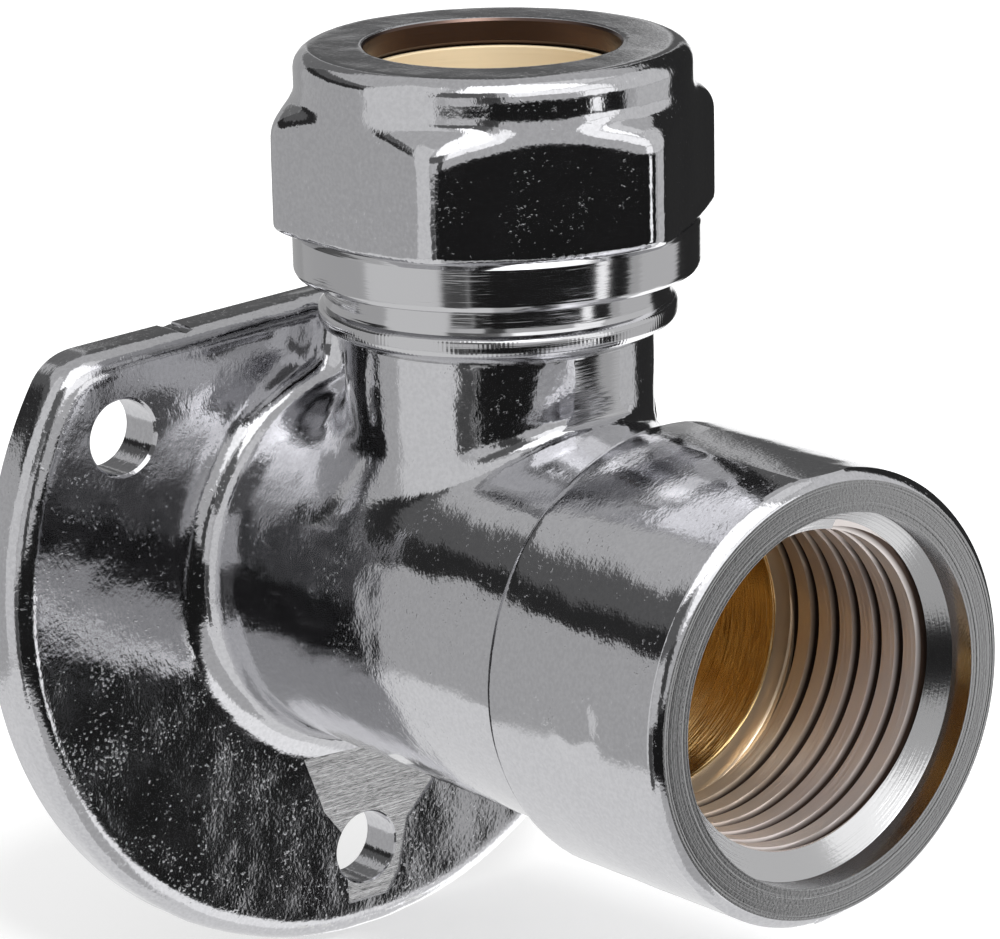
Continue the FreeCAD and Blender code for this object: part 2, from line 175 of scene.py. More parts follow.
def turned(name, rows, segments, along, centre=(0.0, 0.0, 0.0), change=None, ring=False):
    """A solid turned from rows of (radius, height) about the y or z axis through centre.

    change gives new radii from angles, height and radius. A ring joins its last row to its first, and
    other solids have their two ends closed.
    """
    angles = np.linspace(0.0, 2 * math.pi, segments, endpoint=False)
    points = []
    for radius, height in rows:
        radii = np.full(segments, radius) if change is None else change(angles, height, radius)
        across = radii * np.cos(angles)
        other = radii * np.sin(angles)
        level = np.full(segments, height)
        order = (across, level, other) if along == "y" else (across, other, level)
        points.append(np.stack(order, axis=-1))
    points = np.concatenate(points)
    faces = []
    count = len(rows)
    for row in range(count if ring else count - 1):
        first = row * segments
        second = (row + 1) % count * segments
        for step in range(segments):
            following = (step + 1) % segments
            faces.append((first + step, first + following, second + following, second + step))
    if not ring:
        faces.append(list(range(segments)))
        faces.append(list(range((count - 1) * segments, count * segments)))
    return new_piece(name, points + np.array(centre), faces)


def thread_cutter(name, section, first, last, along, centre=(0.0, 0.0, 0.0)):
    """A solid swept up a right-handed helix of the thread's pitch, between two heights.

    section lists its corners as (radius, offset along the axis).
    """
    per_turn = 96
    steps = int((last - first) / THREAD_PITCH * per_turn)
    points = []
    for step in range(steps + 1):
        angle = 2 * math.pi * step / per_turn
        height = first + THREAD_PITCH * step / per_turn
        for radius, offset in section:
            across = radius * math.cos(angle)
            other = radius * math.sin(angle)
            level = height + offset
            points.append((across, level, -other) if along == "y" else (across, other, level))
    count = len(section)
    faces = [tuple(range(count)), tuple(range(steps * count, (steps + 1) * count))]
    for step in range(steps):
        here = step * count
        ahead = here + count
        for corner in range(count):
            following = (corner + 1) % count
            faces.append((here + corner, here + following, ahead + following, ahead + corner))
    return new_piece(name, np.array(points) + np.array(centre), faces)


def spread(start, end, step):
    """Heights from start to end, evenly spaced and about step apart."""
    return np.linspace(start, end, max(int(round(abs(end - start) / step)), 1) + 1)


def machine(blank, tool, operation):
    """Join a tool's shape to a blank, or cut it away, and remove the tool."""
    work = blank.modifiers.new("machining", "BOOLEAN")
    work.operation = operation
    work.solver = "MANIFOLD"
    work.object = tool
    graph = bpy.context.evaluated_depsgraph_get()
    result = bpy.data.meshes.new_from_object(blank.evaluated_get(graph))
    blank.modifiers.clear()
    blank.data = result
    bpy.data.objects.remove(tool)


def prism(name, outline, start, end):
    """A straight-sided solid on an outline of (x, z) points, between two places along the y axis."""
    points = [(across, level, up) for level in (start, end) for across, up in outline]
    count = len(outline)
    faces = [tuple(range(count)), tuple(range(count, 2 * count))]
    for step in range(count):
        following = (step + 1) % count
        faces.append((step, following, count + following, count + step))
    return new_piece(name, points, faces)


SLIVER = 0.002
REAL_EDGE = math.radians(26)


def finish_edges(piece, finishes, choose):
    """Clear the slivers that cuts leave, and give each face the finish that choose picks for it.

    Faces are shaded smooth up to real edges.
    """
    piece.data.materials.clear()
    for finish in finishes:
        piece.data.materials.append(finish)
    shape = bmesh.new()
    shape.from_mesh(piece.data)
    bmesh.ops.remove_doubles(shape, verts=shape.verts, dist=SLIVER / 1000)
    bmesh.ops.dissolve_degenerate(shape, edges=shape.edges, dist=SLIVER / 1000)
    for face in shape.faces:
        face.smooth = True
        face.material_index = choose(face.calc_center_median() * 1000, face.normal)
    for edge in shape.edges:
        edge.smooth = edge.calc_face_angle(0.0) < REAL_EDGE
    shape.to_mesh(piece.data)
    shape.free()


FORGING_GRID = 0.38
points, outward, quads = skin(forging_distance, (-27.6, -34.6, -27.6), (27.6, 2.0, 20.0), FORGING_GRID)
# The forging's waves fade out towards its back, which is milled flat for the wall.
forged = np.clip((-points[:, 1] - 0.4) / 1.2, 0.0, 1.0)
sway = 0.06 * waves(points, 5.5, 1) + 0.026 * waves(points, 2.1, 2) + 0.011 * waves(points, 0.9, 3)
elbow = new_piece("elbow_body_forged", points + outward * (forged * sway)[:, None], quads)
back = [(-30.0, -30.0), (30.0, -30.0), (30.0, 30.0), (-30.0, 30.0)]
machine(elbow, prism("back_mill", back, 0.0, 4.0), "DIFFERENCE")

PAD_PLACE = 40.2
PAD_HALF_WIDTH = 2.1
PAD_HALF_LENGTH = 2.3
PAD_HEIGHT = 0.2
# The pad is a soft swelling: its foot and the width of its slope, as shares of its half sizes.
PAD_REACH = 1.2
PAD_SLOPE = 0.65


def collar_change(angles, height, radius):
    """Radii of the collar's side, with slow waves of the forging and the low oval pad on the left."""
    if radius < COLLAR_RADIUS - SHOULDER_ROUND:
        return np.full(len(angles), radius)
    level = np.full(len(angles), height)
    places = np.stack([radius * np.cos(angles), level, radius * np.sin(angles)], axis=-1)
    # The waves fade out before the faced end.
    fade = min(max((height + MOUTH - 0.6) / 1.5, 0.0), 1.0)
    sway = 0.06 * waves(places, 6.0, 4) + 0.02 * waves(places, 1.8, 5)
    away = np.hypot((height + PAD_PLACE) / PAD_HALF_WIDTH, places[:, 2] / PAD_HALF_LENGTH)
    left = places[:, 0] < 0
    rise = np.clip((PAD_REACH - away) / PAD_SLOPE, 0.0, 1.0)
    pad = PAD_HEIGHT * rise * rise * (3.0 - 2.0 * rise) * left
    return radius + fade * sway + pad


collar_rows = [(8.0, -SHOULDER - 0.6), (9.0, -SHOULDER), (12.6, -SHOULDER)]
for angle in np.radians(np.linspace(0.0, 90.0, 7)):
    round_radius = COLLAR_RADIUS - SHOULDER_ROUND * (1.0 - math.sin(angle))
    collar_rows.append((round_radius, -SHOULDER - SHOULDER_ROUND * (1.0 - math.cos(angle))))
collar_rows += [(COLLAR_RADIUS, height) for height in spread(-SHOULDER - 1.1, -MOUTH + 0.64, 0.3)]
collar_rows += [(COLLAR_RADIUS - 0.07, -MOUTH + 0.5), (COLLAR_RADIUS - 0.5, -MOUTH + 0.07)]
collar_rows += [(COLLAR_RADIUS - 0.62, -MOUTH)]
machine(elbow, turned("collar", collar_rows, 300, "y", change=collar_change), "UNION")

NECK_CENTRE = (0.0, -NECK_AXIS, 0.0)
RING_RADIUS = 10.9
neck_rows = [(8.2, 12.0), (NECK_RADIUS - 0.4, 12.0), (NECK_RADIUS - 0.4, RING_FOOT - 0.06)]
neck_rows += [(NECK_RADIUS + 0.04, RING_FOOT), (10.5, 17.38), (10.74, 17.54), (10.86, 17.72)]
neck_rows += [(RING_RADIUS, 17.9), (RING_RADIUS, 18.4), (10.86, 18.56), (10.76, 18.68), (10.56, 18.84)]
neck_rows += [(10.5, 19.0), (THREAD_RADIUS, 19.05)]
neck_rows += [(THREAD_RADIUS, height) for height in spread(19.4, 26.5, 0.7)]
neck_rows += [(9.5775, 27.4), (8.2, 27.4)]
machine(elbow, turned("neck_turning", neck_rows, 220, "z", NECK_CENTRE), "UNION")
NECK_THREAD_START = 20.6
NECK_THREAD_END = 29.0
neck_groove = [(10.75, -0.7), (10.75, 0.7), (9.43, 0.2), (9.43, -0.2)]
neck_die = thread_cutter("neck_die", neck_groove, NECK_THREAD_START, NECK_THREAD_END, "z", NECK_CENTRE)
machine(elbow, neck_die, "DIFFERENCE")

LEAD_IN_RADIUS = 11.1
LEAD_IN_DEPTH = 1.6
CREST_RADIUS = 9.55
BORE_RADIUS = 9.2
socket_rows = [(LEAD_IN_RADIUS, -MOUTH - 1.0), (LEAD_IN_RADIUS, -MOUTH + LEAD_IN_DEPTH)]
socket_rows += [(10.95, -MOUTH + 1.72), (CREST_RADIUS, -MOUTH + 2.6)]
socket_rows += [(CREST_RADIUS, height) for height in spread(-MOUTH + 3.0, -33.3, 0.6)]
socket_rows += [(10.35, -33.15), (10.42, -32.55), (10.32, -32.42), (9.3, -32.2), (BORE_RADIUS, -32.05)]
socket_rows += [(BORE_RADIUS, height) for height in spread(-31.0, -13.0, 3.0)]
socket_rows += [(4.6, -10.24), (0.05, -7.5)]
machine(elbow, turned("socket_tool", socket_rows, 240, "y"), "DIFFERENCE")
socket_groove = [(9.3, -0.46), (9.3, 0.46), (10.4, 0.1), (10.4, -0.1)]
machine(elbow, thread_cutter("socket_tap", socket_groove, -MOUTH + 0.9, -32.8, "y"), "DIFFERENCE")

pipe_rows = [(6.4, 0.0), (6.4, 13.5), (7.6, 13.5), (7.6, 24.9), (9.1275, 27.4), (9.1275, 28.4)]
machine(elbow, turned("pipe_tool", pipe_rows, 160, "z", NECK_CENTRE), "DIFFERENCE")

for angle in (270.0, 30.0, 150.0):
    turn = math.radians(angle)
    centre = (SCREW_CIRCLE * math.cos(turn), 0.0, SCREW_CIRCLE * math.sin(turn))
    hole_rows = [(SCREW_HOLE_RADIUS + 1.2, -PLATE_THICKNESS - 1.0)]
    hole_rows += [(SCREW_HOLE_RADIUS + 0.16, -PLATE_THICKNESS)]
    hole_rows += [(SCREW_HOLE_RADIUS, -PLATE_THICKNESS + 0.2), (SCREW_HOLE_RADIUS, -0.15)]
    hole_rows += [(SCREW_HOLE_RADIUS + 0.15, 0.0), (SCREW_HOLE_RADIUS + 1.15, 1.0)]
    machine(elbow, turned("drill", hole_rows, 72, "y", centre), "DIFFERENCE")

# The trimming of the forging's flash leaves flat strips on the collar, a ground flat on the neck and a
# milled band on the plate below the barrel. The plate's top edge has one small nick.
STRIP_HEIGHT = 13.47
STRIP_HALF = 3.0
STRIP_STOCK = 15.0
NECK_FLAT = 26.9
BAND_DEPTH = 0.09
for sign in (1, -1):
    strip = [(-STRIP_HALF, sign * STRIP_HEIGHT), (STRIP_HALF, sign * STRIP_HEIGHT)]
    strip += [(STRIP_HALF, sign * STRIP_STOCK), (-STRIP_HALF, sign * STRIP_STOCK)]
    machine(elbow, prism("strip_trim", strip, -MOUTH - 1.0, -SHOULDER - 0.1), "DIFFERENCE")
neck_flat = [(-4.0, 12.5), (4.0, 12.7), (4.0, RING_FOOT - 0.1), (-4.0, RING_FOOT - 0.1)]
machine(elbow, prism("neck_grinder", neck_flat, -29.0, -NECK_FLAT), "DIFFERENCE")
band = [(-4.9, -13.5), (5.3, -13.7), (5.7, -17.2), (3.4, -19.4), (2.6, -22.8), (1.6, -24.1), (-1.6, -24.1)]
band += [(-1.7, -22.4), (-1.9, -20.6), (-2.0, -19.2), (-3.4, -17.4)]
machine(elbow, prism("band_mill", band, -6.0, -PLATE_THICKNESS + BAND_DEPTH), "DIFFERENCE")
nick = [(-12.8, 15.86), (-12.3, 15.74), (-11.7, 15.84), (-11.5, 18.0), (-13.0, 18.0)]
machine(elbow, prism("nick", nick, -4.0, 1.0), "DIFFERENCE")


def linear(code):
    """A colour for a shader from an sRGB hex value."""
    parts = [int(code[place:place + 2], 16) / 255 for place in (1, 3, 5)]
    return [part / 12.92 if part <= 0.04045 else ((part + 0.055) / 1.055) ** 2.4 for part in parts] + [1.0]


def add(tree, kind, inputs=None, **settings):
    """Add one node: settings are its properties, and inputs are values or links for its sockets."""
    made = tree.nodes.new(kind)
    for name, value in settings.items():
        setattr(made, name, value)
    for socket, value in (inputs or {}).items():
        if isinstance(value, bpy.types.NodeSocket):
            tree.links.new(value, made.inputs[socket])
        else:
            made.inputs[socket].default_value = value
    return made


def new_material(name):
    """A material and its node tree, which is empty."""
    material = bpy.data.materials.new(name)
    material.use_nodes = True
    material.node_tree.nodes.clear()
    return material, material.node_tree


def forged_finish(name, dullest, brush_height, speck_height, speck_level):
    """Chrome over a forged skin: a mirror with orange peel that frays each reflection, and raised specks.

    The brush marks have brush_height and the specks speck_height, in millimetres, and a higher
    speck_level leaves fewer specks. Each pattern's scale is 1000 over its size in millimetres.
    """
    material, tree = new_material(name)
    place = add(tree, "ShaderNodeTexCoord").outputs["Object"]
    peel = add(tree, "ShaderNodeTexNoise", {"Vector": place, "Scale": 1000 / 1.1, "Detail": 3.0})
    marks = (1000 / 0.22, 1000 / 0.22, 1000 / 0.3)
    upright = add(tree, "ShaderNodeMapping", {"Vector": place, "Scale": marks}).outputs["Vector"]
    brush = add(tree, "ShaderNodeTexNoise", {"Vector": upright, "Scale": 1.0, "Detail": 2.0}).outputs["Fac"]
    cloud = add(tree, "ShaderNodeTexNoise", {"Vector": place, "Scale": 1000 / 2.6, "Detail": 1.0})
    grain = add(tree, "ShaderNodeTexNoise", {"Vector": place, "Scale": 1000 / 0.26, "Detail": 2.0})
    heap = add(tree, "ShaderNodeMath", {0: cloud.outputs["Fac"], 1: 0.4, 2: grain.outputs["Fac"]},
               operation="MULTIPLY_ADD")
    speck = add(tree, "ShaderNodeMapRange", {"Value": heap.outputs["Value"], "From Min": speck_level,
                                             "From Max": speck_level + 0.1}).outputs["Result"]
    peel_bump = add(tree, "ShaderNodeBump", {"Height": peel.outputs["Fac"], "Distance": 0.014 / 1000})
    brush_bump = add(tree, "ShaderNodeBump", {"Height": brush, "Distance": brush_height / 1000,
                                              "Normal": peel_bump.outputs["Normal"]})
    speck_bump = add(tree, "ShaderNodeBump", {"Height": speck, "Distance": speck_height / 1000,
                                              "Normal": brush_bump.outputs["Normal"]})
    dull = add(tree, "ShaderNodeTexNoise", {"Vector": place, "Scale": 1000 / 3.0, "Detail": 2.0})
    dullness = add(tree, "ShaderNodeMapRange", {"Value": dull.outputs["Fac"], "To Min": 0.04,
                                                "To Max": dullest})
    sand = add(tree, "ShaderNodeMapRange", {"Value": grain.outputs["Fac"], "From Min": 0.35,
                                            "From Max": 0.65})
    colour = add(tree, "ShaderNodeMixRGB", {"Fac": sand.outputs["Result"], "Color1": linear("#c6c6c9"),
                                            "Color2": linear("#cfcfd2")})
    shader = add(tree, "ShaderNodeBsdfPrincipled", {"Base Color": colour.outputs["Color"], "Metallic": 1.0,
                                                    "Roughness": dullness.outputs["Result"],
                                                    "Normal": speck_bump.outputs["Normal"]})
    add(tree, "ShaderNodeOutputMaterial", {"Surface": shader.outputs["BSDF"]})
    return material


# The forging's chrome is bright on the barrel and neck. The plate's face was left coarser, so that it is
# duller and has more specks.
forged_chrome = forged_finish("chrome_plate_on_forging", dullest=0.12, brush_height=0.007,
                              speck_height=0.007, speck_level=0.89)
coarse_chrome = forged_finish("chrome_plate_on_coarse_forging", dullest=0.16, brush_height=0.010,
                              speck_height=0.007, speck_level=0.86)

# Bright chrome over turned brass: the tool's fine rings show through the plating. On the neck's ring the
# tool also chattered, which left short upright ripples.
CHATTER = 0.27
turned_chrome, tree = new_material("chrome_plate_on_turning")
place = add(tree, "ShaderNodeTexCoord").outputs["Object"]
marks = (1000 / 4.0, 1000 / 4.0, 1000 / 0.14)
stretch = add(tree, "ShaderNodeMapping", {"Vector": place, "Scale": marks}).outputs["Vector"]
lines = add(tree, "ShaderNodeTexNoise", {"Vector": stretch, "Scale": 1.0, "Detail": 2.0}).outputs["Fac"]
line_bump = add(tree, "ShaderNodeBump", {"Height": lines, "Distance": 0.014 / 1000}).outputs["Normal"]
from_axis = add(tree, "ShaderNodeVectorMath", {0: place, 1: (0.0, NECK_AXIS / 1000, 0.0)}, operation="ADD")
parts = add(tree, "ShaderNodeSeparateXYZ", {"Vector": from_axis.outputs["Vector"]}).outputs
bearing = add(tree, "ShaderNodeMath", {0: parts["Y"], 1: parts["X"]}, operation="ARCTAN2").outputs["Value"]
waves_round = RING_RADIUS / CHATTER * 2 * math.pi
ripple = add(tree, "ShaderNodeMath", {0: bearing, 1: waves_round}, operation="MULTIPLY").outputs["Value"]
ripple = add(tree, "ShaderNodeMath", {0: ripple}, operation="SINE").outputs["Value"]
uneven = add(tree, "ShaderNodeTexNoise", {"Vector": place, "Scale": 1000 / 2.0, "Detail": 1.0}).outputs["Fac"]
above = add(tree, "ShaderNodeMath", {0: parts["Z"], 1: 17.5 / 1000}, operation="GREATER_THAN")
below = add(tree, "ShaderNodeMath", {0: parts["Z"], 1: 18.7 / 1000}, operation="LESS_THAN")
both = {0: above.outputs["Value"], 1: below.outputs["Value"]}
on_ring = add(tree, "ShaderNodeMath", both, operation="MULTIPLY").outputs["Value"]
ripple = add(tree, "ShaderNodeMath", {0: ripple, 1: on_ring}, operation="MULTIPLY").outputs["Value"]
ripple = add(tree, "ShaderNodeMath", {0: ripple, 1: uneven}, operation="MULTIPLY").outputs["Value"]
ripple_bump = add(tree, "ShaderNodeBump", {"Height": ripple, "Distance": 0.004 / 1000, "Normal": line_bump})
shader = add(tree, "ShaderNodeBsdfPrincipled", {"Base Color": linear("#c8c8ca"), "Metallic": 1.0,
                                                "Roughness": 0.11, "Normal": ripple_bump.outputs["Normal"]})
add(tree, "ShaderNodeOutputMaterial", {"Surface": shader.outputs["BSDF"]})

# Faced ends: the same chrome over fine concentric rings, with small specks.
faced_chrome, tree = new_material("chrome_plate_on_faced_end")
place = add(tree, "ShaderNodeTexCoord").outputs["Object"]
flat = add(tree, "ShaderNodeVectorMath", {0: place, 1: (1.0, 0.0, 1.0)}, operation="MULTIPLY")
reach = add(tree, "ShaderNodeVectorMath", {0: flat.outputs["Vector"]}, operation="LENGTH").outputs["Value"]
count = add(tree, "ShaderNodeMath", {0: reach, 1: 1000 / 0.16}, operation="MULTIPLY").outputs["Value"]
rings = add(tree, "ShaderNodeTexNoise", {"W": count, "Scale": 1.0, "Detail": 3.0}, noise_dimensions="1D")
specks = add(tree, "ShaderNodeTexNoise", {"Vector": place, "Scale": 1000 / 0.2, "Detail": 2.0}).outputs["Fac"]
ring_bump = add(tree, "ShaderNodeBump", {"Height": rings.outputs["Fac"], "Distance": 0.013 / 1000})
speck_bump = add(tree, "ShaderNodeBump", {"Height": specks, "Distance": 0.006 / 1000,
                                          "Normal": ring_bump.outputs["Normal"]})
shader = add(tree, "ShaderNodeBsdfPrincipled", {"Base Color": linear("#c4c4c5"), "Metallic": 1.0,
                                                "Roughness": 0.16, "Normal": speck_bump.outputs["Normal"]})
add(tree, "ShaderNodeOutputMaterial", {"Surface": shader.outputs["BSDF"]})


def tooled_metal(name, colour, marks, height, metallic, dullness, detail=2.0, raggedness=0.5):
    """A metal of one colour with the lines of a cutting tool.

    marks gives the lines' sizes along x, y and z, and height how deep they are, in millimetres.
    """
    material, tree = new_material(name)
    place = add(tree, "ShaderNodeTexCoord").outputs["Object"]
    scale = [1000 / mark for mark in marks]
    stretch = add(tree, "ShaderNodeMapping", {"Vector": place, "Scale": scale}).outputs["Vector"]
    lines = add(tree, "ShaderNodeTexNoise", {"Vector": stretch, "Scale": 1.0, "Detail": detail,
                                             "Roughness": raggedness}).outputs["Fac"]
    line_bump = add(tree, "ShaderNodeBump", {"Height": lines, "Distance": height / 1000})
    shader = add(tree, "ShaderNodeBsdfPrincipled", {"Base Color": linear(colour), "Metallic": metallic,
                                                    "Roughness": dullness,
                                                    "Normal": line_bump.outputs["Normal"]})
    add(tree, "ShaderNodeOutputMaterial", {"Surface": shader.outputs["BSDF"]})
    return material


# The milled band: chrome over ragged cutter lines that run straight across and scatter each reflection.
milled_chrome = tooled_metal("chrome_plate_on_milling", "#cdcdce", (7.0, 0.5, 0.26), height=0.07,
                             metallic=1.0, dullness=0.22, detail=4.0, raggedness=0.65)

# Plating inside the socket: bright nickel at the mouth that gets thinner and warmer along the thread, with
# painted shade darkening the thread's roots. The tap's lines run round each crest and draw the reflections
# out.
socket_plating, tree = new_material("thin_nickel_over_brass")
place = add(tree, "ShaderNodeTexCoord").outputs["Object"]
depth = add(tree, "ShaderNodeSeparateXYZ", {"Vector": place}).outputs["Y"]
share = add(tree, "ShaderNodeMapRange", {"Value": depth, "From Min": -MOUTH / 1000, "From Max": -32.5 / 1000})
tint = add(tree, "ShaderNodeValToRGB", {"Fac": share.outputs["Result"]})
tint.color_ramp.elements[0].color = linear("#ece7e5")
tint.color_ramp.elements[1].color = linear("#dcc8ac")
tint.color_ramp.elements.new(0.45).color = linear("#e6dad5")
flat = add(tree, "ShaderNodeVectorMath", {0: place, 1: (1.0, 0.0, 1.0)}, operation="MULTIPLY")
reach = add(tree, "ShaderNodeVectorMath", {0: flat.outputs["Vector"]}, operation="LENGTH").outputs["Value"]
# Painted shade: along the threaded length, the thread's roots, beyond 9.6 mm from the axis, are mixed towards
# a dark brown.
root = add(tree, "ShaderNodeMapRange", {"Value": reach, "From Min": 9.6 / 1000, "From Max": 9.9 / 1000})
inside = add(tree, "ShaderNodeMath", {0: depth, 1: (2.65 - MOUTH) / 1000}, operation="GREATER_THAN")
before = add(tree, "ShaderNodeMath", {0: depth, 1: -33.3 / 1000}, operation="LESS_THAN").outputs["Value"]
threaded = add(tree, "ShaderNodeMath", {0: inside.outputs["Value"], 1: before}, operation="MULTIPLY")
painted_root_shade = add(tree, "ShaderNodeMath", {0: root.outputs["Result"], 1: threaded.outputs["Value"]},
            operation="MULTIPLY")
# The dark brown #4a3b33 is painted shade in the thread's roots.
colour = add(tree, "ShaderNodeMixRGB", {"Fac": painted_root_shade.outputs["Value"], "Color1": tint.outputs["Color"],
                                        "Color2": linear("#4a3b33")})
marks = (1000 / 6.0, 1000 / 0.24, 1000 / 6.0)
stretch = add(tree, "ShaderNodeMapping", {"Vector": place, "Scale": marks}).outputs["Vector"]
lines = add(tree, "ShaderNodeTexNoise", {"Vector": stretch, "Scale": 1.0, "Detail": 2.0}).outputs["Fac"]
line_bump = add(tree, "ShaderNodeBump", {"Height": lines, "Distance": 0.08 / 1000})
shader = add(tree, "ShaderNodeBsdfPrincipled", {"Base Color": colour.outputs["Color"], "Metallic": 0.75,
                                                "Roughness": 0.3, "Normal": line_bump.outputs["Normal"]})
add(tree, "ShaderNodeOutputMaterial", {"Surface": shader.outputs["BSDF"]})

# The bored waterway behind the thread: bare brass, golden. The boring bar's rings draw each reflection
# out along the bore.
bored_brass = tooled_metal("bored_brass", "#dfc189", (6.0, 0.18, 6.0), height=0.11, metallic=1.0,
                           dullness=0.24)

FORGED, TURNED, FACED, MILLED, TAPPED, BORED, COARSE = range(7)
ELBOW_FINISHES = [forged_chrome, turned_chrome, faced_chrome, milled_chrome, socket_plating, bored_brass]
ELBOW_FINISHES += [coarse_chrome]
TOUCH = 0.02


def elbow_finish(place, facing):
    """Number of the finish for a face of the elbow body, from its place and the way that it faces."""
    x, y, z = place
    from_socket = math.hypot(x, z)
    from_neck = math.hypot(x, y + NECK_AXIS)
    in_socket = from_socket < 11.4 and -MOUTH + TOUCH < y < -7.0 and z < 11.2
    on_lead_in = y < -MOUTH + 2.62 and from_socket > 9.58
    on_end = y < -MOUTH + TOUCH or y > -TOUCH
    on_band = abs(y + PLATE_THICKNESS - BAND_DEPTH) < 0.01 and z < -13.0 and abs(x) < 6.0
    on_neck_flat = y < -NECK_FLAT + 0.01 and 12.0 < z < RING_FOOT and facing.y < -0.99
    in_pipe_socket = from_neck < 9.2 and z > 0 and y > -26.8
    on_ring_or_thread = from_neck < 11.0 and z > RING_FOOT - 0.05 and y < -6.0
    on_plate = y > -PLATE_THICKNESS - 0.3 and from_socket > 14.0
    if in_socket and not on_lead_in:
        return BORED if y > -32.3 else TAPPED
    if in_socket or on_end:
        return FACED
    if on_band:
        return MILLED
    if on_neck_flat or in_pipe_socket or on_ring_or_thread:
        return TURNED
    return COARSE if on_plate else FORGED


finish_edges(elbow, ELBOW_FINISHES, elbow_finish)
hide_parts("elbow_body")
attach(elbow, "fitting")


# Olive
# The soft brass ring that the nut squeezes on the pipe, turned with a taper at each end and left bare.
# It lies in the neck's cone, and comes up with the nut.
olive_rows = [(7.6, 25.62), (7.7, 25.55), (7.95, 25.55), (8.86, 27.0), (8.9, 27.2), (8.9, 31.3), (8.86, 31.5)]
olive_rows += [(7.95, 32.57), (7.7, 32.57), (7.6, 32.5)]
olive = turned("olive_turned", olive_rows, 128, "z", NECK_CENTRE, ring=True)

# Bare turned brass: a pale, dull yellow, with rings from the tool.
turned_brass = tooled_metal("turned_brass", "#fbe8c4", (16.0, 16.0, 0.25), height=0.012, metallic=0.5,
                            dullness=0.55, detail=3.0)
finish_edges(olive, (turned_brass,), lambda place, facing: 0)
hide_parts("olive")
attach(olive, "olive")


# Compression nut
# A hot-stamped brass hexagon with a round crown and a turned skirt, bored and threaded inside, and
# chromed. It screws down on the neck and presses the olive.
NUT_BOTTOM = 20.6
NUT_TOP = 34.35
NUT_HALF = 12.125
NUT_TURN = math.radians(34.6)
NUT_EDGE_BLEND = 1.1
SKIRT_RADIUS = 12.34
HEX_FOOT = 23.5
HEX_UNDERSIDE = math.radians(13.0)
CROWN_RADIUS = 12.0
CROWN_ROUND = 1.25
FLARE_DROP = 2.8
FLARE_SLOPE = math.radians(34.0)
FLARE_BLEND = 0.9
UNDERSIDE_BLEND = 0.4
# The stock of the hexagon ends below the nut's top, and the crown goes down into it.
STOCK_DROP = 2.0
CROWN_FOOT = 25.0
CROWN_BLEND = 0.4


def nut_distance(points):
    """Distance in millimetres from points to the stamped blank of the nut."""
    x, y, z = points[..., 0], points[..., 1] + NECK_AXIS, points[..., 2]
    around = np.hypot(x, y)
    hexagon = None
    for side in range(6):
        angle = NUT_TURN + math.radians(30 + 60 * side)
        face = x * math.cos(angle) + y * math.sin(angle) - NUT_HALF
        hexagon = face if hexagon is None else soft_overlap(hexagon, face, NUT_EDGE_BLEND)
    below_top = z - NUT_TOP
    flare = (around - CROWN_RADIUS) * math.sin(FLARE_SLOPE) + (below_top + FLARE_DROP) * math.cos(FLARE_SLOPE)
    underside = (around - SKIRT_RADIUS) * math.sin(HEX_UNDERSIDE) - (z - HEX_FOOT) * math.cos(HEX_UNDERSIDE)
    stock = soft_overlap(hexagon, flare, FLARE_BLEND)
    stock = soft_overlap(stock, underside, UNDERSIDE_BLEND)
    stock = np.maximum(stock, below_top + STOCK_DROP)
    crown = np.maximum(rounded(around - CROWN_RADIUS, below_top, CROWN_ROUND), CROWN_FOOT - z)
    return soft_union(stock, crown, CROWN_BLEND)


NUT_GRID = 0.26
NUT_REACH = 14.8
nut_low = (-NUT_REACH, -NECK_AXIS - NUT_REACH, 22.6)
nut_high = (NUT_REACH, -NECK_AXIS + NUT_REACH, 35.2)
points, outward, quads = skin(nut_distance, nut_low, nut_high, NUT_GRID)
sway = 0.028 * waves(points, 4.0, 6) + 0.011 * waves(points, 1.4, 7)
nut = new_piece("compression_nut_stamped", points + outward * sway[:, None], quads)
skirt_rows = [(9.0, NUT_BOTTOM), (SKIRT_RADIUS - 0.35, NUT_BOTTOM), (SKIRT_RADIUS - 0.12, NUT_BOTTOM + 0.12)]
skirt_rows += [(SKIRT_RADIUS - 0.02, NUT_BOTTOM + 0.32), (SKIRT_RADIUS, NUT_BOTTOM + 0.5)]
skirt_rows += [(SKIRT_RADIUS, HEX_FOOT - 0.25), (SKIRT_RADIUS - 0.2, HEX_FOOT + 0.03), (9.0, HEX_FOOT + 0.03)]
machine(nut, turned("skirt", skirt_rows, 240, "z", NECK_CENTRE), "UNION")
NUT_CREST = 9.48
bore_rows = [(11.2, NUT_BOTTOM - 1.0), (11.2, NUT_BOTTOM), (10.5, NUT_BOTTOM + 0.7)]
bore_rows += [(NUT_CREST, NUT_BOTTOM + 1.4)]
bore_rows += [(NUT_CREST, height) for height in spread(NUT_BOTTOM + 2.0, 28.1, 0.7)]
bore_rows += [(9.45, 28.4), (9.45, 31.2), (7.75, 32.9), (7.75, 34.12)]
bore_rows += [(7.85, 34.28), (8.05, 34.36), (8.6, 35.4)]
machine(nut, turned("nut_tool", bore_rows, 200, "z", NECK_CENTRE), "DIFFERENCE")
# The nut's groove holds the neck's ridge, so it starts half a pitch away from the neck's groove.
nut_groove = [(9.3, -0.8), (9.3, 0.8), (10.53, 0.34), (10.53, -0.34)]
nut_thread_start = NECK_THREAD_START - THREAD_PITCH / 2
machine(nut, thread_cutter("nut_tap", nut_groove, nut_thread_start, 27.6, "z", NECK_CENTRE), "DIFFERENCE")

NUT_INSIDE = 2


def nut_finish(place, facing):
    """Number of the finish for a face of the nut, from its place."""
    from_neck = math.hypot(place.x, place.y + NECK_AXIS)
    on_skirt = place.z < HEX_FOOT + 0.04 and from_neck < SKIRT_RADIUS + 0.01
    if from_neck < 10.8 and place.z < 34.2:
        return NUT_INSIDE
    return TURNED if on_skirt else FORGED
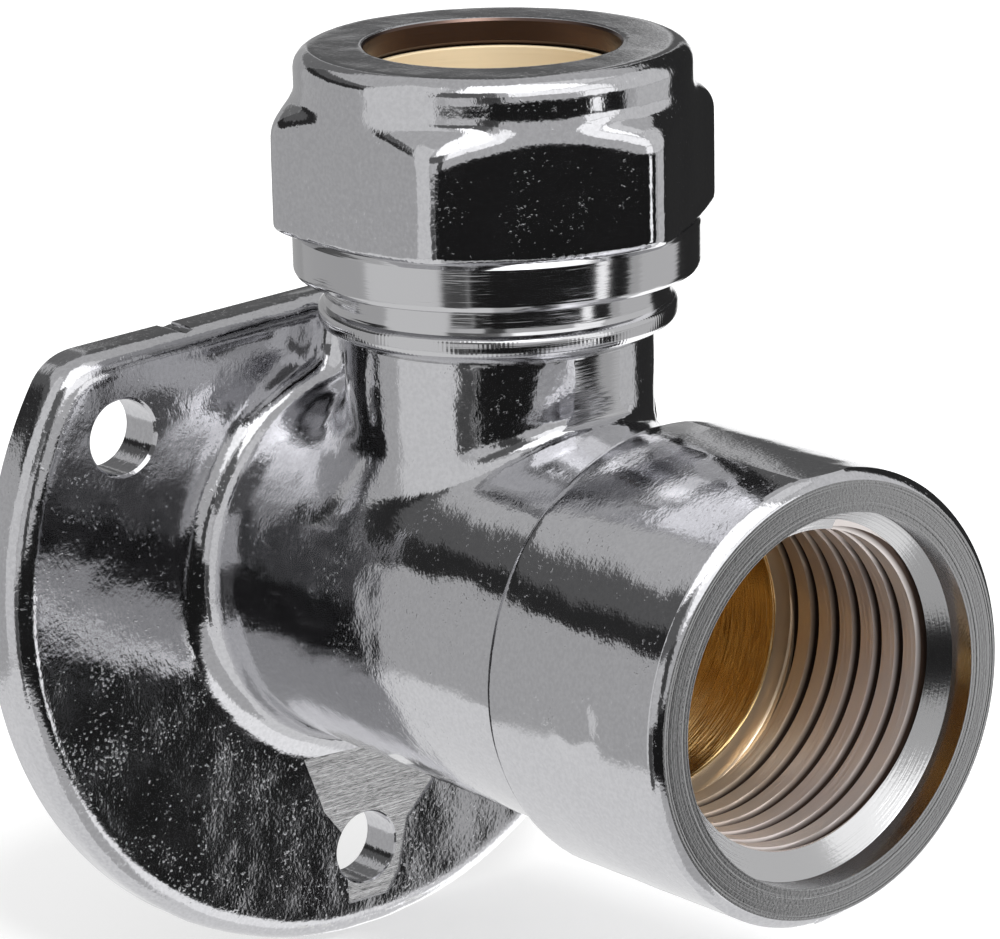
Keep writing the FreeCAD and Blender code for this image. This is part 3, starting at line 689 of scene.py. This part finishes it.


# The nut's inside is bored and tapped: a dark, warm metal, whose darkness is painted shade for the nut's dim
# bore.
painted_shade_nickel = tooled_metal("nickel_with_painted_shade", "#584842", (5.0, 5.0, 0.2), height=0.012, metallic=1.0,
                            dullness=0.3)
finish_edges(nut, (forged_chrome, turned_chrome, painted_shade_nickel), nut_finish)
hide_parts("compression_nut")
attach(nut, "nut")


# Floor, light and camera
# The fitting stands on a plain white floor in a light tent. The tent is pale cloth with dark gaps round
# the camera and brighter soft boxes, and only reflections see it, because a chromed piece shows little
# else than what is around it.
FLOOR_LEVEL = -0.0266
FLOOR_HALF = 3.0
corners = [(-FLOOR_HALF, -FLOOR_HALF, FLOOR_LEVEL), (FLOOR_HALF, -FLOOR_HALF, FLOOR_LEVEL)]
corners += [(FLOOR_HALF, FLOOR_HALF, FLOOR_LEVEL), (-FLOOR_HALF, FLOOR_HALF, FLOOR_LEVEL)]
floor_mesh = bpy.data.meshes.new("floor")
floor_mesh.from_pydata(corners, [], [(0, 1, 2, 3)])
floor = bpy.data.objects.new("floor", floor_mesh)
bpy.context.scene.collection.objects.link(floor)
paper, tree = new_material("white_paper")
seen = add(tree, "ShaderNodeLightPath").outputs["Is Camera Ray"]
matt = add(tree, "ShaderNodeBsdfDiffuse", {"Color": linear("#e6e6e6")})
glow = add(tree, "ShaderNodeEmission", {"Color": linear("#ffffff"), "Strength": 0.45})
both = add(tree, "ShaderNodeAddShader", {0: matt.outputs["BSDF"], 1: glow.outputs["Emission"]})
choice = add(tree, "ShaderNodeMixShader", {"Fac": seen, 1: matt.outputs["BSDF"], 2: both.outputs["Shader"]})
add(tree, "ShaderNodeOutputMaterial", {"Surface": choice.outputs["Shader"]})
floor.data.materials.append(paper)
floor.visible_glossy = False

# Tent cloth glows with its panel's brightness and fades out at the panel's edges.
tent_cloth, tree = new_material("tent_cloth")
shade = add(tree, "ShaderNodeObjectInfo").outputs["Color"]
cover = add(tree, "ShaderNodeAttribute", attribute_name="cover").outputs["Fac"]
clear = add(tree, "ShaderNodeBsdfTransparent")
glow = add(tree, "ShaderNodeEmission", {"Color": shade, "Strength": 1.0}).outputs["Emission"]
faded = add(tree, "ShaderNodeMixShader", {"Fac": cover, 1: clear.outputs["BSDF"], 2: glow})
add(tree, "ShaderNodeOutputMaterial", {"Surface": faded.outputs["Shader"]})
# Each panel: name, first and last bearing, lowest and highest elevation in degrees, and brightness. A
# bearing of 0 is in front of the socket and 90 is to its right. A later panel hangs before an earlier one.
PANELS = [
    ("tent", -180, 180, -90, 90, 0.582),
    ("table", -180, 180, -90, -26, 0.885),
    ("front_table_left", -42, 6, -74, -28, 0.56),
    ("left_wall", -118, -70, -26, 64, 0.809),
    ("back_left_low", -180, -118, -26, 13, 0.522),
    ("back_left_gap", -180, -118, 13, 36, 0.13),
    ("back_left_slot", -180, -118, 12.5, 24, 0.03),
    ("back_left_high", -180, -118, 36, 64, 0.582),
    ("camera_side", -74, -36, 16, 40, 0.145),
    ("front_gap_left", -70, -54, -34, -9, 0.086),
    ("front_gap", -55, 40, -30, -3, 0.014),
    ("front_rail", -66, -42, -9, 16, 0.668),
    ("front_cloth", -42, 10, -3, 18, 0.582),
    ("camera_low", -48, -33, -6, 19, 0.07),
    ("top_box", -62, 28, 40, 82, 1.8),
    ("top_box_low", -30, 34, 18, 40, 1.45),
    ("strip_top", 10, 34, -3, 18, 1.4),
    ("strip_low", 16.5, 25.5, -23, -5, 1.5),
    ("front_table", 6, 45, -62, -30, 1.2),
    ("right_gap_edge", 40, 47, -30, -3, 0.52),
    ("right_wall", 34, 80, -3, 48, 0.76),
    ("right_wall_low", 46, 80, -28, -3, 0.668),
    ("right_gap", 80, 125, -26, 44, 0.03),
    ("bright_table", 58, 136, -50, -26, 1.8),
    ("back_right_low", 125, 150, -26, 1, 1.14),
    ("back_right_edge", 125, 136, 1, 34, 0.118),
    ("back_right_rail", 136, 150, 1, 13, 0.3),
    ("back_right_wall", 136, 150, 12, 46, 0.13),
    ("back_low", 150, 180, -26, 15, 0.43),
    ("back_high", 150, 180, 15, 48, 0.2),
    ("top_right", 28, 62, 48, 82, 0.911),
]
SOFT_EDGE = 1.8
TENT_RADIUS = 0.9
LAYER_GAP = 0.012


def across_panel(first, last, whole):
    """Angles across a panel, and how far it covers there: nothing at an edge, unless it goes all round."""
    inner = spread(first + SOFT_EDGE, last - SOFT_EDGE, 5.0)
    cover = np.ones(len(inner) + 2)
    cover[0] = float(first == -whole)
    cover[-1] = float(last == whole)
    return np.concatenate([[first], inner, [last]]), cover


for layer, (name, first, last, low, high, brightness) in enumerate(PANELS):
    reach = TENT_RADIUS - LAYER_GAP * layer
    bearings, side_cover = across_panel(first, last, 180)
    rises, height_cover = across_panel(low, high, 90)
    places = []
    for rise in np.radians(rises):
        for bearing in np.radians(bearings):
            flat = reach * math.cos(rise)
            places.append((flat * math.sin(bearing), -flat * math.cos(bearing), reach * math.sin(rise)))
    columns = len(bearings)
    squares = []
    for row in range(len(rises) - 1):
        for column in range(columns - 1):
            corner = row * columns + column
            squares.append((corner, corner + 1, corner + columns + 1, corner + columns))
    mesh = bpy.data.meshes.new(name)
    mesh.from_pydata(places, [], squares)
    covers = mesh.attributes.new("cover", "FLOAT", "POINT")
    covers.data.foreach_set("value", np.outer(height_cover, side_cover).ravel())
    panel = bpy.data.objects.new(name, mesh)
    panel.color = (brightness, brightness, brightness, 1.0)
    panel.data.materials.append(tent_cloth)
    bpy.context.scene.collection.objects.link(panel)
    panel.visible_camera = False
    panel.visible_diffuse = False
    panel.visible_transmission = False
    panel.visible_shadow = False

# The world is white to the camera and in reflections, and lights the part at a lower strength.
world = bpy.data.worlds.new("white_studio")
bpy.context.scene.world = world
world.use_nodes = True
tree = world.node_tree
tree.nodes.clear()
path = add(tree, "ShaderNodeLightPath").outputs
shiny = add(tree, "ShaderNodeMath", {0: path["Is Glossy Ray"], 1: path["Is Transmission Ray"]},
            operation="MAXIMUM").outputs["Value"]
white = add(tree, "ShaderNodeMath", {0: path["Is Camera Ray"], 1: shiny}, operation="MAXIMUM")
level = add(tree, "ShaderNodeMapRange", {"Value": white.outputs["Value"], "To Min": 0.6, "To Max": 1.0})
sky = add(tree, "ShaderNodeBackground", {"Color": linear("#ffffff"), "Strength": level.outputs["Result"]})
add(tree, "ShaderNodeOutputWorld", {"Surface": sky.outputs["Background"]})

# One soft lamp, high in front and to the left, reaches into the socket and the nut.
lamp = bpy.data.lights.new("front_lamp", "SUN")
lamp.energy = 2.6
lamp.angle = math.radians(22)
front_lamp = bpy.data.objects.new("front_lamp", lamp)
front_lamp.rotation_euler = (math.radians(42), 0.0, math.radians(-18))
bpy.context.scene.collection.objects.link(front_lamp)

# The camera stands where the photograph's round edges put it. The part's origin lies so far to its right,
# below it and ahead of it, in millimetres.
ORIGIN_RIGHT = -11.0
ORIGIN_BELOW = 3.982
ORIGIN_AHEAD = 333.895
view = bpy.data.cameras.new("photo_view")
view.lens = 187.63
view.sensor_width = 36.0
camera = bpy.data.objects.new("photo_view", view)
azimuth = math.radians(-39.262)
height = math.radians(15.808)
roll = math.radians(1.221)
flat = math.cos(height)
forward = Vector((-math.sin(azimuth) * flat, math.cos(azimuth) * flat, -math.sin(height)))
level = Vector((math.cos(azimuth), math.sin(azimuth), 0.0))
down = forward.cross(level)
right = level * math.cos(roll) + down * math.sin(roll)
down = down * math.cos(roll) - level * math.sin(roll)
place = -(right * ORIGIN_RIGHT + down * ORIGIN_BELOW + forward * ORIGIN_AHEAD) / 1000
turn = Matrix((right, -down, -forward)).transposed().to_4x4()
camera.matrix_world = Matrix.Translation(place) @ turn
bpy.context.scene.collection.objects.link(camera)
bpy.context.scene.camera = camera
bpy.context.scene.view_settings.view_transform = "Standard"
